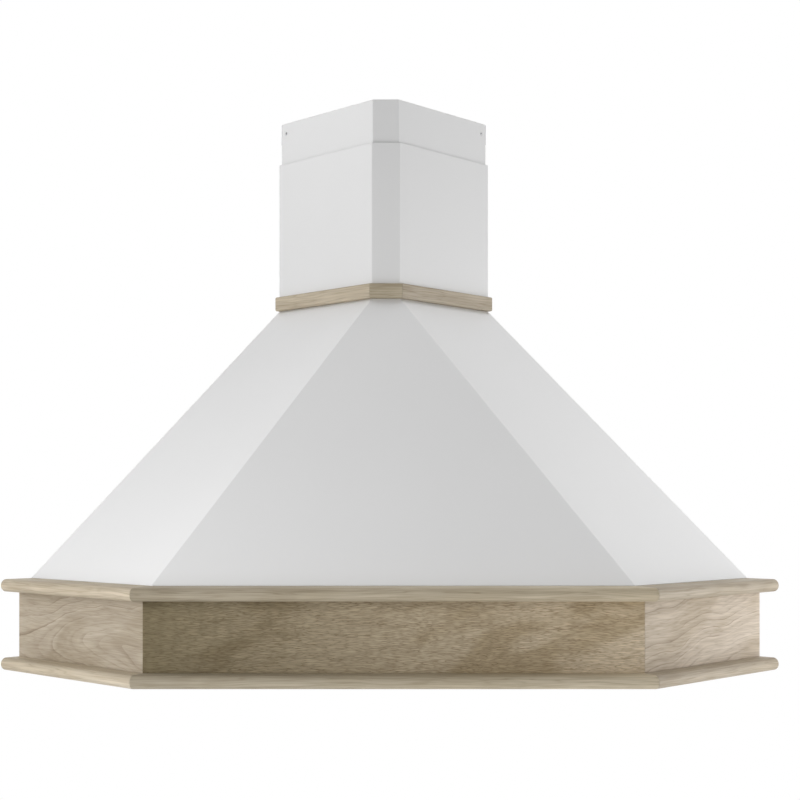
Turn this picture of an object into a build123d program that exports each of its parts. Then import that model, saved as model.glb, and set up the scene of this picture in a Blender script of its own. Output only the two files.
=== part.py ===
from build123d import *
import os
from math import acos, cos, degrees, radians, sin, sqrt, tan, atan

# Corner range hood: a sheet-steel canopy in an oak frame, with a telescopic chimney, hung in a room corner.
# Millimetres. The origin is where the two walls meet, level with the underside of the oak frame.
# +Z is up, +Y points into the corner, +X is to the right of someone who faces the hood.

# Oak frame
board_side = 680.0  # room corner to the outside of a side board, along its wall
board_front = 668.5  # room corner to the outside of the front board
board_thickness = 18.0
board_height = 85.0
moulding_thickness = 16.0
moulding_overhang = 27.0
moulding_ledge = 18.0  # how far the lower moulding reaches in under the steel skirt
nose_flat = 0.4  # flat left along the middle of each rounded nose

# Canopy and chimney sheet metal
sheet = 1.0
fold_radius = 2.0  # outside radius of the folds between front and side faces
canopy_height = 390.0
canopy_lip = 14.0  # fold along the canopy's wall edges and round its head
chimney_side = 224.5  # room corner to the outside of the lower chimney, along each wall
chimney_nose = 40.0  # width of the lower chimney's narrow front face
chimney_step = 3.2  # how far the upper chimney's faces lie inside the lower chimney's
chimney_lip = 16.0
lower_chimney_height = 223.0
upper_chimney_height = 285.0
chimney_hole = 4.0  # diameter of the fixing hole in each side of the upper chimney
chimney_hole_drop = 15.6
chimney_hole_off_wall = 12.0
trim_height = 21.0
trim_thickness = 8.5
trim_edge = 2.5  # rounding of the trim's outer edges

# Wall fixings
panel_gauge = 1.0
spine_along = 45.0  # where the corner spine leaves each wall
spine_lip = 16.0
plate_gauge = 2.0
hanger_length = 180.0
hanger_height = 34.0
hanger_drop = 75.0  # canopy head to the middle of the hanging plates
wall_hole_pitch = 140.0
wall_hole = 8.0
bracket_height = 30.0
bracket_tab = 24.0
bracket_hole_pitch = 60.0
bracket_hole = 5.5

# Outlet and damper
duct = 150.0  # outside diameter of the outlet collar
collar_wall = 2.0
collar_height = 56.0
collar_flange = 14.0
collar_flange_gauge = 2.5
flap_gauge = 1.2
flap_clearance = 1.0
flap_pin = 3.0
flap_barrel = 7.0
flap_pin_spacing = 12.0
flap_level = 18.0  # top plate to the middle of the flap pins

# Blower
case_wall = 2.0
case_width = 150.0
scroll_radius = 90.0  # radius of the scroll at its tongue
scroll_growth = 16.0  # added to the radius at each quarter turn
tongue_angle = 50.0
neck_height = 55.0
neck_lead = 20.0  # foot of the neck to the scroll's top
case_flange_gauge = 4.0
wheel_radius = 70.0
wheel_width = 130.0
blade_count = 30
blade_depth = 13.0
blade_gauge = 1.0
hub_radius = 12.0
shaft_radius = 4.0
motor_radius = 40.0
motor_length = 62.0
motor_bracket_gauge = 2.5
motor_arm = 10.0

# Underside
underside_gauge = 1.0
fit_gap = 0.5
filter_width = 240.0
filter_depth = 300.0  # hinge line to the front edge
filter_thickness = 10.0
filter_rail = 14.0
filter_front_rail = 34.0
filter_gap = 24.0  # between the two filter openings
filter_clearance = 1.0
filter_wall_margin = 36.0  # keeps the hinge line's outer end off the wall
mesh_gauge = 3.0
mesh_groove = 3.0
mesh_columns = 10
mesh_rows = 12
rim_height = 10.0
pivot_radius = 2.5
pivot_play = 0.08
ear_gauge = 2.0
ear_length = 16.0
latch_width = 60.0
latch_length = 11.0
latch_thickness = 4.0
latch_travel = 6.0
latch_tongue = 16.0
latch_play = 0.4
lamp_radius = 33.0
lamp_sleeve = 28.0
lamp_height = 26.0
lamp_lens = 3.0
lamp_fins = 14.0
lamp_base = 3.0
lamp_off_side = 108.0  # canopy's side to the middle of the lamp
lamp_off_wall = 68.0

# Controls
bezel_length = 170.0
bezel_width = 32.0
bezel_gauge = 2.0
bezel_rim = 4.0
bezel_depth = 18.0
button_count = 5
button_pitch = 30.0
button_length = 20.0
button_width = 12.0
button_play = 0.4
button_proud = 2.5
button_travel = 2.0
button_shoulder = 1.5
board_gauge = 1.6

# Electronics
box_length = 150.0
box_height = 90.0
box_depth = 40.0
box_wall = 2.0
box_along = 300.0  # room corner to the middle of the box, along the right wall
box_level = 245.0
capacitor_radius = 17.5
capacitor_length = 62.0
gland_radius = 10.0
gland_bore = 4.0
gland_wall = 2.0
gland_nut = 5.0
gland_hex = 7.0
gland_cap = 9.0
screw_radius = 1.75
screw_head = 3.6
screw_head_height = 2.2
screw_length = 13.0
screw_play = 0.1

# Levels and reaches that follow
board_base = moulding_thickness
board_top = board_base + board_height
canopy_base = board_top + moulding_thickness
canopy_top = canopy_base + canopy_height
canopy_side = board_side - board_thickness
canopy_front = board_front - board_thickness
moulding_outer = (board_side + moulding_overhang, board_front + moulding_overhang)
board_outer = (board_side, board_front)
board_inner = (canopy_side, canopy_front)
ledge_inner = (canopy_side - moulding_ledge, canopy_front - moulding_ledge)
chimney_front = chimney_side * sqrt(2) - chimney_nose / 2
chimney_outer = (chimney_side, chimney_front)
upper_side = chimney_side - chimney_step
upper_front = chimney_front - chimney_step
clear_of_wall = panel_gauge + sheet + fit_gap
spine_clear = spine_along + sheet + 2 * fit_gap
right_wall = Plane(origin=(0, 0, 0), x_dir=(1, -1, 0), z_dir=(-1, -1, 0))
right_out = Axis((0, 0, 0), (1, -1, 0))
right_run = Axis((0, 0, 0), (1, 1, 0))


def wall_point(along, off, side=1):
    # plan point a distance along a wall from the corner and off it into the room; right wall 1, left wall -1
    return (side * (along - off) / sqrt(2), -(along + off) / sqrt(2))


def front_point(reach, side=1):
    # plan point where an outline's side face meets its front face
    return (side * (reach[0] * sqrt(2) - reach[1]), -reach[1])


def outline(reach, off=0.0, corner=0.0):
    # plan of everything within the side and front faces, kept off the walls, cut across the room corner
    back = [wall_point(corner, off, -1), wall_point(corner, off)] if corner > off else [(0, -off * sqrt(2))]
    return [wall_point(reach[0], off), front_point(reach), front_point(reach, -1),
            wall_point(reach[0], off, -1)] + back


def inward(reach, amount):
    return (reach[0] - amount, reach[1] - amount)


def slope_profile(foot_reach, head_reach, inset, foot, head):
    # a canopy face in profile, moved in square to the sheet: up the skirt, round the bend, up the slope
    lean = atan((foot_reach - head_reach) / canopy_height)
    bend = canopy_base - inset * tan(lean / 2)
    edge = foot_reach - (head - canopy_base) * tan(lean) - inset / cos(lean)
    return [(foot_reach - inset, foot), (foot_reach - inset, bend), (edge, head)]


def side_profile(inset, foot, head):
    return slope_profile(canopy_side, chimney_side, inset, foot, head)


def mirrored(source):
    with BuildPart() as twin:
        mirror(source.part, about=Plane.YZ)
    return twin


def save(piece, name):
    piece.part.label = name
    export_step(piece.part, f"parts/{name}.step")


def oak_rim(outer, inner, base, height, nose):
    # three mitred lengths between two outlines, with the outer edges rounded
    with BuildPart() as front:
        with BuildSketch(Plane.XY.offset(base)):
            Polygon(front_point(outer, -1), front_point(outer), front_point(inner), front_point(inner, -1))
        extrude(amount=height)
        fillet(front.edges().filter_by(Axis.X).group_by(Axis.Y)[0], nose)
    with BuildPart() as right:
        with BuildSketch(Plane.XY.offset(base)):
            Polygon(front_point(outer), wall_point(outer[0], 0), wall_point(inner[0], 0), front_point(inner))
        extrude(amount=height)
        fillet(right.edges().filter_by(right_run).group_by(right_out)[-1], nose)
    return {"front": front, "right": right, "left": mirrored(right)}


os.makedirs("parts", exist_ok=True)

# Oak mouldings and collar trim
nose_radius = (moulding_thickness - nose_flat) / 2
rims = {
    "lower_moulding": oak_rim(moulding_outer, ledge_inner, 0, moulding_thickness, nose_radius),
    "upper_moulding": oak_rim(moulding_outer, board_inner, board_top, moulding_thickness, nose_radius),
    "collar_trim": oak_rim(inward(chimney_outer, -trim_thickness), chimney_outer, canopy_top,
                           trim_height, trim_edge),
}

# Screws that hold the frame: through the skirt into the boards, through the ledge into the lower moulding
screw_level = board_base + board_height / 2
front_half = front_point(board_inner)[0]
side_run = sqrt(2) * (canopy_side / sqrt(2) - front_half)
front_screws = [(share * front_half, -canopy_front) for share in (-0.8, -0.28, 0.28, 0.8)]
right_screws = [wall_point(canopy_side, share * side_run) for share in (0.2, 0.8)]
screw_planes = [Plane(origin=(x, y, screw_level), z_dir=(0, 1, 0)) for x, y in front_screws]
for side in (1, -1):
    screw_planes += [Plane(origin=(side * x, y, screw_level), z_dir=(-side, 1, 0)) for x, y in right_screws]
ledge_middle = inward(board_inner, moulding_ledge / 2)
ledge_half = front_point(ledge_middle)[0]
ledge_spots = [(share * ledge_half, -ledge_middle[1]) for share in (-0.85, -0.4, 0.4, 0.85)]
for side in (1, -1):
    ledge_spots += [wall_point(ledge_middle[0], share * side_run, side) for share in (0.15, 0.5, 0.85)]
ledge_planes = [Plane(origin=(x, y, board_base)) for x, y in ledge_spots]

with BuildPart() as frame_screws:
    with Locations(*[plane.offset(sheet) for plane in screw_planes],
                   *[plane.offset(sheet + underside_gauge) for plane in ledge_planes]):
        Cylinder(screw_head, screw_head_height, align=(Align.CENTER, Align.CENTER, Align.MIN))
        Cylinder(screw_radius, screw_length, align=(Align.CENTER, Align.CENTER, Align.MAX))

# Oak boards, each with the pilot holes of its skirt screws
with BuildPart() as board_front_piece:
    with BuildSketch(Plane.XY.offset(board_base)):
        Polygon(front_point(board_outer, -1), front_point(board_outer), front_point(board_inner),
                front_point(board_inner, -1))
    extrude(amount=board_height)
    with Locations(*screw_planes[:len(front_screws)]):
        Hole(screw_radius + screw_play, screw_length)
with BuildPart() as board_right_piece:
    with BuildSketch(Plane.XY.offset(board_base)):
        Polygon(front_point(board_outer), wall_point(board_side, 0), wall_point(canopy_side, 0),
                front_point(board_inner))
    extrude(amount=board_height)
    with Locations(*screw_planes[len(front_screws):len(front_screws) + len(right_screws)]):
        Hole(screw_radius + screw_play, screw_length)
save(board_front_piece, "frame_board_front")
save(board_right_piece, "frame_board_right")
save(mirrored(board_right_piece), "frame_board_left")

# The lower moulding gets its pilot holes before it is written with the other rims
for rim_name, lengths in rims.items():
    for place, length in lengths.items():
        with BuildPart() as oak:
            add(length.part)
            if rim_name == "lower_moulding":
                with Locations(*ledge_planes):
                    Hole(screw_radius + screw_play, screw_length)
        save(oak, f"{rim_name}_{place}")


def is_fold(edge):
    # true for an edge that rises clear of the walls, where the canopy's front and side faces meet
    ends = (edge @ 0, edge @ 1)
    return abs(ends[0].Z - ends[1].Z) > sheet and all(abs(abs(end.X) + end.Y) > chimney_lip for end in ends)


def canopy_block(inset, over):
    # everything inside the canopy's faces, taken past its head, foot and walls by the overrun
    foot = board_base - over
    head = canopy_top + over
    front = slope_profile(canopy_front, chimney_front, inset, foot, head)
    with BuildPart() as half:
        with BuildSketch(right_wall.offset(-over)):
            Polygon(side_profile(inset, foot, head) + [(-board_side, head), (-board_side, foot)])
        extrude(amount=2 * board_side)
    with BuildPart() as block:
        with BuildSketch(Plane.YZ):
            Polygon([(-reach, level) for reach, level in front] + [(board_side, head), (board_side, foot)])
        extrude(amount=board_side, both=True)
        add(half.part, mode=Mode.INTERSECT)
        mirror(half.part, about=Plane.YZ, mode=Mode.INTERSECT)
    return block


# Canopy sheet in two pieces welded round the bend: three slopes above, an upright skirt inside the oak frame
canopy_outside = canopy_block(0, 0)
canopy_inside = canopy_block(sheet, sheet)
canopy_bend = Plane.XY.offset(canopy_base)
with BuildPart() as canopy_lips:
    with BuildSketch(right_wall.offset(panel_gauge)):
        Polygon(side_profile(sheet / 2, board_base, canopy_top)
                + side_profile(sheet + canopy_lip, board_base, canopy_top)[::-1])
    extrude(amount=sheet)
    mirror(about=Plane.YZ)
with BuildPart() as canopy_shell:
    add(canopy_outside.part)
    split(bisect_by=canopy_bend, keep=Keep.TOP)
    fillet(canopy_shell.edges().filter_by(is_fold), fold_radius)
    add(canopy_inside.part, mode=Mode.SUBTRACT)
    with BuildSketch(Plane.XY.offset(canopy_top - sheet)):
        Polygon(outline(chimney_outer, panel_gauge))
        Polygon(outline(inward(chimney_outer, canopy_lip), panel_gauge), mode=Mode.SUBTRACT)
    extrude(amount=sheet)
    add(canopy_lips.part)
    split(bisect_by=canopy_bend, keep=Keep.TOP)
with BuildPart() as canopy_skirt:
    add(canopy_outside.part)
    split(bisect_by=canopy_bend, keep=Keep.BOTTOM)
    fillet(canopy_skirt.edges().filter_by(is_fold), fold_radius)
    add(canopy_inside.part, mode=Mode.SUBTRACT)
    with BuildSketch(Plane.XY.offset(board_base)):
        Polygon(outline(inward(board_inner, sheet / 2), panel_gauge))
        Polygon(outline(inward(board_inner, moulding_ledge), panel_gauge), mode=Mode.SUBTRACT)
    extrude(amount=sheet)
    add(canopy_lips.part)
    split(bisect_by=canopy_bend, keep=Keep.BOTTOM)
    with Locations(*screw_planes):
        Hole(screw_radius + screw_play, 2 * sheet)
    with Locations(*ledge_planes):
        Hole(screw_radius + screw_play, 2 * sheet)
save(canopy_shell, "canopy_shell")
save(canopy_skirt, "canopy_skirt")
save(frame_screws, "frame_screws")

# Rear panels against the walls and the hanging plates on them, with the wall-screw holes through both
hanger_level = canopy_top - hanger_drop
hanger_middle = (spine_along + spine_lip + side_profile(sheet + canopy_lip, 0, hanger_level)[-1][0]) / 2
wall_holes = [(hanger_middle + end * wall_hole_pitch / 2, hanger_level) for end in (-1, 1)]
with BuildPart() as rear_panel:
    with BuildSketch(right_wall):
        Polygon([(spine_along, canopy_top), (spine_along, board_base)]
                + side_profile(sheet + fit_gap, board_base, canopy_top))
        with Locations(*wall_holes):
            Circle(wall_hole / 2, mode=Mode.SUBTRACT)
    extrude(amount=panel_gauge)
with BuildPart() as hanging_plate:
    with BuildSketch(right_wall.offset(panel_gauge)):
        with Locations((hanger_middle, hanger_level)):
            RectangleRounded(hanger_length, hanger_height, 4)
        with Locations(*wall_holes):
            Circle(wall_hole / 2, mode=Mode.SUBTRACT)
    extrude(amount=plate_gauge)
for piece, name in ((rear_panel, "rear_panel"), (hanging_plate, "hanging_plate")):
    save(piece, f"{name}_right")
    save(mirrored(piece), f"{name}_left")


def corner_strip(along, off, gauge, run):
    # plan of a strip across the room corner that follows each wall for a run
    bend = along + gauge * (sqrt(2) - 1)
    outer = [wall_point(along + run, off), wall_point(along, off), wall_point(along, off, -1),
             wall_point(along + run, off, -1)]
    inner = [wall_point(along + run, off + gauge, -1), wall_point(bend, off + gauge, -1),
             wall_point(bend, off + gauge), wall_point(along + run, off + gauge)]
    return outer + inner


with BuildPart() as rear_spine:
    with BuildSketch(Plane.XY.offset(board_base)):
        Polygon(corner_strip(spine_along, panel_gauge, sheet, spine_lip))
    extrude(amount=canopy_top - board_base)
save(rear_spine, "rear_spine")


def chimney(reach, off, height, lip_height):
    # folded cover: two side faces, a narrow front face and a lip along each wall
    edge = reach[0] - sheet / 2
    inner = reach[0] - chimney_lip
    with BuildPart() as cover:
        with BuildSketch(Plane.XY.offset(canopy_top)):
            Polygon(outline(reach, off))
            Polygon(outline(inward(reach, sheet), off), mode=Mode.SUBTRACT)
        extrude(amount=height)
        folds = cover.edges().filter_by(Axis.Z).group_by(Axis.Y)
        fillet(folds[0], fold_radius)
        fillet(folds[1], fold_radius - sheet)
        with BuildSketch(Plane.XY.offset(canopy_top)):
            for side in (1, -1):
                Polygon(wall_point(inner, off, side), wall_point(edge, off, side),
                        wall_point(edge, off + sheet, side), wall_point(inner, off + sheet, side))
        extrude(amount=lip_height)
    return cover


# Chimney covers, the upper one standing on the canopy's head inside the lower one
upper_reach = (upper_side, upper_front)
upper_top = canopy_top + upper_chimney_height
hole_level = upper_top - chimney_hole_drop
hole_planes = [Plane(origin=(*wall_point(upper_side, chimney_hole_off_wall, side), hole_level),
                     z_dir=(side, -1, 0)) for side in (1, -1)]
bracket_base = hole_level - bracket_height / 2
save(chimney(chimney_outer, 0, lower_chimney_height, lower_chimney_height), "lower_chimney")
upper_lip_height = bracket_base - canopy_top - fit_gap
upper_cover = chimney(upper_reach, sheet + 2 * fit_gap, upper_chimney_height, upper_lip_height)
with BuildPart() as upper_chimney:
    add(upper_cover.part)
    with Locations(*hole_planes):
        Hole(chimney_hole / 2, 2 * sheet)
save(upper_chimney, "upper_chimney")

# Chimney bracket: a strip along both walls, with a tab behind each fixing hole
tab_outer = upper_side - sheet
tab_inner = tab_outer - plate_gauge
bracket_run = tab_outer - spine_along
bracket_middle = spine_along + bracket_run / 2
with BuildPart() as chimney_bracket:
    with BuildSketch(Plane.XY.offset(bracket_base)):
        Polygon(corner_strip(spine_along, 0, plate_gauge, bracket_run))
        for side in (1, -1):
            Polygon(wall_point(tab_inner, 0, side), wall_point(tab_outer, 0, side),
                    wall_point(tab_outer, bracket_tab, side), wall_point(tab_inner, bracket_tab, side))
    extrude(amount=bracket_height)
    with Locations(*hole_planes):
        Hole(chimney_hole / 2, sheet + 2 * plate_gauge)
    for side in (1, -1):
        for end in (-1, 1):
            spot = wall_point(bracket_middle + end * bracket_hole_pitch / 2, 0, side)
            with Locations(Plane(origin=(*spot, hole_level), z_dir=(side, 1, 0))):
                Hole(bracket_hole / 2, 2 * plate_gauge)
save(chimney_bracket, "chimney_bracket")

# Top plate, hung under the canopy's head fold, with the outlet hole, blower screws and cable gland hole
outlet_y = -chimney_side / sqrt(2)
plate_top = canopy_top - sheet
case_top = plate_top - plate_gauge
collar_outer = duct / 2
collar_inner = collar_outer - collar_wall
flange_radius = collar_outer + collar_flange
blower_spots = [(0.5 * sqrt(2) * a * (collar_outer + flange_radius) / 2,
                 outlet_y + 0.5 * sqrt(2) * b * (collar_outer + flange_radius) / 2)
                for a in (-1, 1) for b in (-1, 1)]
gland_y = (outlet_y - flange_radius - chimney_front + canopy_lip) / 2
with BuildPart() as top_plate:
    with BuildSketch(Plane.XY.offset(case_top)):
        Polygon(outline(inward(chimney_outer, 2 * sheet), clear_of_wall, spine_clear))
        with Locations((0, outlet_y)):
            Circle(collar_inner, mode=Mode.SUBTRACT)
        with Locations((0, gland_y)):
            Circle(gland_radius - gland_wall + screw_play, mode=Mode.SUBTRACT)
        with Locations(*blower_spots):
            Circle(screw_radius + screw_play, mode=Mode.SUBTRACT)
    extrude(amount=plate_gauge)
save(top_plate, "top_plate")

# Outlet collar with the holes of its two flap pins
flap_z = plate_top + flap_level
pin_half = sqrt(collar_outer**2 - (flap_pin_spacing / 2 + flap_pin)**2) - screw_play
pin_planes = [Plane(origin=(0, outlet_y + end * flap_pin_spacing / 2, flap_z), z_dir=(1, 0, 0))
              for end in (-1, 1)]
with BuildPart() as outlet_collar:
    with BuildSketch(Plane.XY.offset(plate_top)):
        with Locations((0, outlet_y)):
            Circle(flange_radius)
            Circle(collar_inner, mode=Mode.SUBTRACT)
        with Locations(*blower_spots):
            Circle(screw_radius + screw_play, mode=Mode.SUBTRACT)
    extrude(amount=collar_flange_gauge)
    with BuildSketch(Plane.XY.offset(plate_top)):
        with Locations((0, outlet_y)):
            Circle(collar_outer)
            Circle(collar_inner, mode=Mode.SUBTRACT)
    extrude(amount=collar_height)
    with Locations(*pin_planes):
        Hole(flap_pin / 2, duct)
save(outlet_collar, "outlet_collar")
with BuildPart() as damper_pins:
    with Locations(*pin_planes):
        Cylinder(flap_pin / 2, 2 * pin_half)
save(damper_pins, "damper_pins")

# Damper flaps: half discs on barrels round their pins, lying level when shut
flap_radius = collar_inner - flap_clearance
barrel_half = sqrt(flap_radius**2 - (flap_pin_spacing / 2 + flap_barrel / 2)**2)
with BuildPart() as flap_front:
    with BuildSketch(Plane.XY.offset(flap_z - flap_gauge / 2)):
        with Locations((0, outlet_y)):
            Circle(flap_radius)
        with Locations((0, outlet_y - flap_pin_spacing / 2)):
            Rectangle(duct, duct, align=(Align.CENTER, Align.MIN), mode=Mode.SUBTRACT)
    extrude(amount=flap_gauge)
    with Locations(pin_planes[0]):
        Cylinder(flap_barrel / 2, 2 * barrel_half)
        Cylinder(flap_pin / 2 + pivot_play, duct, mode=Mode.SUBTRACT)
with BuildPart() as flap_rear:
    mirror(flap_front.part, about=Plane.XZ.offset(-outlet_y))
save(flap_front, "damper_flap_front")
save(flap_rear, "damper_flap_rear")

# Blower case: a scroll that opens upward into a neck, split down its middle
neck_base = case_top - neck_height
fan_z = neck_base - scroll_radius - neck_lead
tongue_reach = scroll_radius * cos(radians(tongue_angle)) - scroll_growth / 2
back_reach = scroll_radius + 2.5 * scroll_growth
fan_y = outlet_y - (tongue_reach + back_reach) / 2
inlet_radius = wheel_radius - blade_depth - 1
case_half = case_width / 2


def scroll_face(inset, head):
    # scroll and discharge seen along the wheel's axis: three quarter turns, each wider than the last
    half = scroll_growth / 2
    first = scroll_radius - inset
    angle = degrees(acos((tongue_reach + half + inset) / first))
    middle = (fan_y - half, fan_z - half)
    tongue = (middle[0] + first * cos(radians(angle)), middle[1] + first * sin(radians(angle)))
    with BuildSketch(Plane.YZ) as face:
        with BuildLine():
            turn = CenterArc(middle, first, angle, 180 - angle)
            left = CenterArc((middle[0] + scroll_growth, middle[1]), first + scroll_growth, 180, 90)
            foot = CenterArc((middle[0] + scroll_growth, middle[1] + scroll_growth),
                             first + 2 * scroll_growth, 270, 90)
            Polyline(foot @ 1, (fan_y + back_reach - inset, head), (tongue[0], head), turn @ 0)
        make_face()
    return face


def neck_loft(inset):
    # square discharge to round outlet
    with BuildPart() as neck:
        with BuildSketch(Plane.XY.offset(neck_base)):
            with Locations((0, outlet_y)):
                Rectangle(case_width - 2 * inset, back_reach - tongue_reach - 2 * inset)
        with BuildSketch(Plane.XY.offset(case_top)):
            with Locations((0, outlet_y)):
                Circle(collar_outer - inset)
        loft()
    return neck


scroll_outer = scroll_face(0, neck_base)
scroll_inner = scroll_face(case_wall, neck_base)
neck_outer = neck_loft(0)
neck_inner = neck_loft(case_wall)
with BuildPart() as blower_case:
    extrude(scroll_outer.sketch, amount=case_half, both=True)
    add(neck_outer.part)
    with BuildSketch(Plane.XY.offset(case_top - case_flange_gauge)):
        with Locations((0, outlet_y)):
            Circle(flange_radius)
        with Locations(*blower_spots):
            Circle(screw_radius + screw_play, mode=Mode.SUBTRACT)
    extrude(amount=case_flange_gauge)
    extrude(scroll_inner.sketch, amount=case_half - case_wall, both=True, mode=Mode.SUBTRACT)
    add(neck_inner.part, mode=Mode.SUBTRACT)
    with Locations(Plane(origin=(0, fan_y, fan_z), z_dir=(1, 0, 0))):
        Hole(inlet_radius, case_width)
for side, keep in (("right", Keep.TOP), ("left", Keep.BOTTOM)):
    with BuildPart() as case_part:
        add(blower_case.part)
        split(bisect_by=Plane.YZ, keep=keep)
    save(case_part, f"blower_case_{side}")

# Screws that hold collar, top plate and blower case together
blower_planes = [Plane(origin=(x, y, plate_top + collar_flange_gauge)) for x, y in blower_spots]
with BuildPart() as blower_screws:
    with Locations(*blower_planes):
        Cylinder(screw_head, screw_head_height, align=(Align.CENTER, Align.CENTER, Align.MIN))
        Cylinder(screw_radius, screw_length, align=(Align.CENTER, Align.CENTER, Align.MAX))
save(blower_screws, "blower_screws")

# Impeller: a double-inlet drum of curved blades round a middle disc
wheel = Plane(origin=(0, fan_y, fan_z), z_dir=(1, 0, 0))
wheel_inner = wheel_radius - blade_depth
disc_half = 1.5
with BuildPart() as impeller:
    with BuildSketch(wheel.offset(-disc_half)):
        Circle(wheel_radius)
    extrude(amount=2 * disc_half)
    with BuildSketch(wheel.offset(-disc_half - hub_radius)):
        Circle(hub_radius)
    extrude(amount=hub_radius + 2 * disc_half)
    with BuildSketch(wheel.offset(-wheel_width / 2)):
        with PolarLocations(0, blade_count):
            with BuildLine():
                outer_arc = ThreePointArc((wheel_inner, 0),
                                          (wheel_inner + 0.6 * blade_depth, 0.18 * blade_depth),
                                          (wheel_radius - blade_gauge, 0.65 * blade_depth))
                offset(outer_arc, amount=blade_gauge, side=Side.LEFT)
            make_face()
    extrude(amount=wheel_width)
    for end in (-wheel_width / 2, wheel_width / 2 - 2 * disc_half):
        with BuildSketch(wheel.offset(end)):
            Circle(wheel_radius)
            Circle(wheel_inner + 0.5 * blade_depth, mode=Mode.SUBTRACT)
        extrude(amount=2 * disc_half)
    with Locations(wheel):
        Hole(shaft_radius, wheel_width)
save(impeller, "impeller")

# Motor inside the right inlet, its shaft in the impeller's hub, its bracket across the inlet
motor_end = case_half
motor_start = motor_end - motor_length
shaft_in_motor = motor_length / 2
with BuildPart() as motor_shaft:
    with BuildSketch(wheel.offset(-disc_half - hub_radius)):
        Circle(shaft_radius)
    extrude(amount=disc_half + hub_radius + motor_start + shaft_in_motor)
save(motor_shaft, "motor_shaft")
with BuildPart() as motor_body:
    with BuildSketch(wheel.offset(motor_start)):
        Circle(motor_radius)
    extrude(amount=motor_length)
    fillet(motor_body.edges().group_by(Axis.X)[0], 5)
    with BuildSketch(wheel.offset(motor_start)):
        Circle(shaft_radius + pivot_play)
    extrude(amount=shaft_in_motor + fit_gap, mode=Mode.SUBTRACT)
save(motor_body, "motor_body")
with BuildPart() as motor_bracket:
    with BuildSketch(wheel.offset(case_half)):
        Circle(inlet_radius + motor_arm)
        Circle(inlet_radius + 1, mode=Mode.SUBTRACT)
        Circle(motor_radius)
        with PolarLocations(0, 3):
            Rectangle(inlet_radius + motor_arm / 2, motor_arm, align=(Align.MIN, Align.CENTER))
    extrude(amount=motor_bracket_gauge)
save(motor_bracket, "motor_bracket")

# Underside panel with the filter openings and their rims, the lamp holes and the control opening
panel_base = board_base + sheet
opening_inner = filter_gap / 2
opening_outer = opening_inner + filter_width + 2 * filter_clearance
hinge_y = -(opening_outer + filter_wall_margin)
hinge_z = panel_base + filter_thickness / 2
filter_front = hinge_y - filter_depth
opening_front = filter_front - filter_clearance
opening_rear = hinge_y + filter_thickness / 2 + filter_clearance
opening_x = (opening_inner + opening_outer) / 2
control_y = (opening_front - ledge_inner[1]) / 2
lamp_spots = [wall_point(canopy_side - lamp_off_side, lamp_off_wall, side) for side in (1, -1)]
rim_rear = hinge_y - ear_length
with BuildPart() as inner_panel:
    with BuildSketch(Plane.XY.offset(panel_base)):
        Polygon(outline(inward(board_inner, sheet + fit_gap), clear_of_wall, spine_clear))
        for side in (1, -1):
            with Locations((side * opening_x, (opening_front + opening_rear) / 2)):
                Rectangle(opening_outer - opening_inner, opening_rear - opening_front, mode=Mode.SUBTRACT)
        with Locations(*lamp_spots):
            Circle(lamp_sleeve + fit_gap, mode=Mode.SUBTRACT)
        with Locations((0, control_y)):
            Rectangle(bezel_length - 2 * bezel_rim + 2 * fit_gap, bezel_width - 2 * bezel_rim + 2 * fit_gap,
                      mode=Mode.SUBTRACT)
        with Locations(*ledge_spots):
            Circle(screw_radius + screw_play, mode=Mode.SUBTRACT)
    extrude(amount=underside_gauge)
    with BuildSketch(Plane.XY.offset(panel_base)):
        for side in (1, -1):
            with Locations((side * opening_x, rim_rear)):
                Rectangle(opening_outer - opening_inner + 2 * underside_gauge,
                          rim_rear - opening_front + underside_gauge, align=(Align.CENTER, Align.MAX))
                Rectangle(opening_outer - opening_inner, rim_rear - opening_front,
                          align=(Align.CENTER, Align.MAX), mode=Mode.SUBTRACT)
    extrude(amount=rim_height)
save(inner_panel, "inner_panel")

# Pivot ears that stand on the panel beside each filter's hinge line
ear_top = hinge_z + pivot_radius + 4
ear_edges = [side * edge for side in (1, -1) for edge in (opening_outer + ear_gauge, opening_inner)]
with BuildPart() as pivot_ears:
    for edge in ear_edges:
        with BuildSketch(Plane.YZ.offset(edge - ear_gauge if edge > 0 else edge)):
            with Locations((hinge_y, panel_base + underside_gauge)):
                Rectangle(ear_length, ear_top - panel_base - underside_gauge, align=(Align.CENTER, Align.MIN))
            with Locations((hinge_y, hinge_z)):
                Circle(pivot_radius + pivot_play, mode=Mode.SUBTRACT)
        extrude(amount=ear_gauge)
save(pivot_ears, "pivot_ears")

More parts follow.
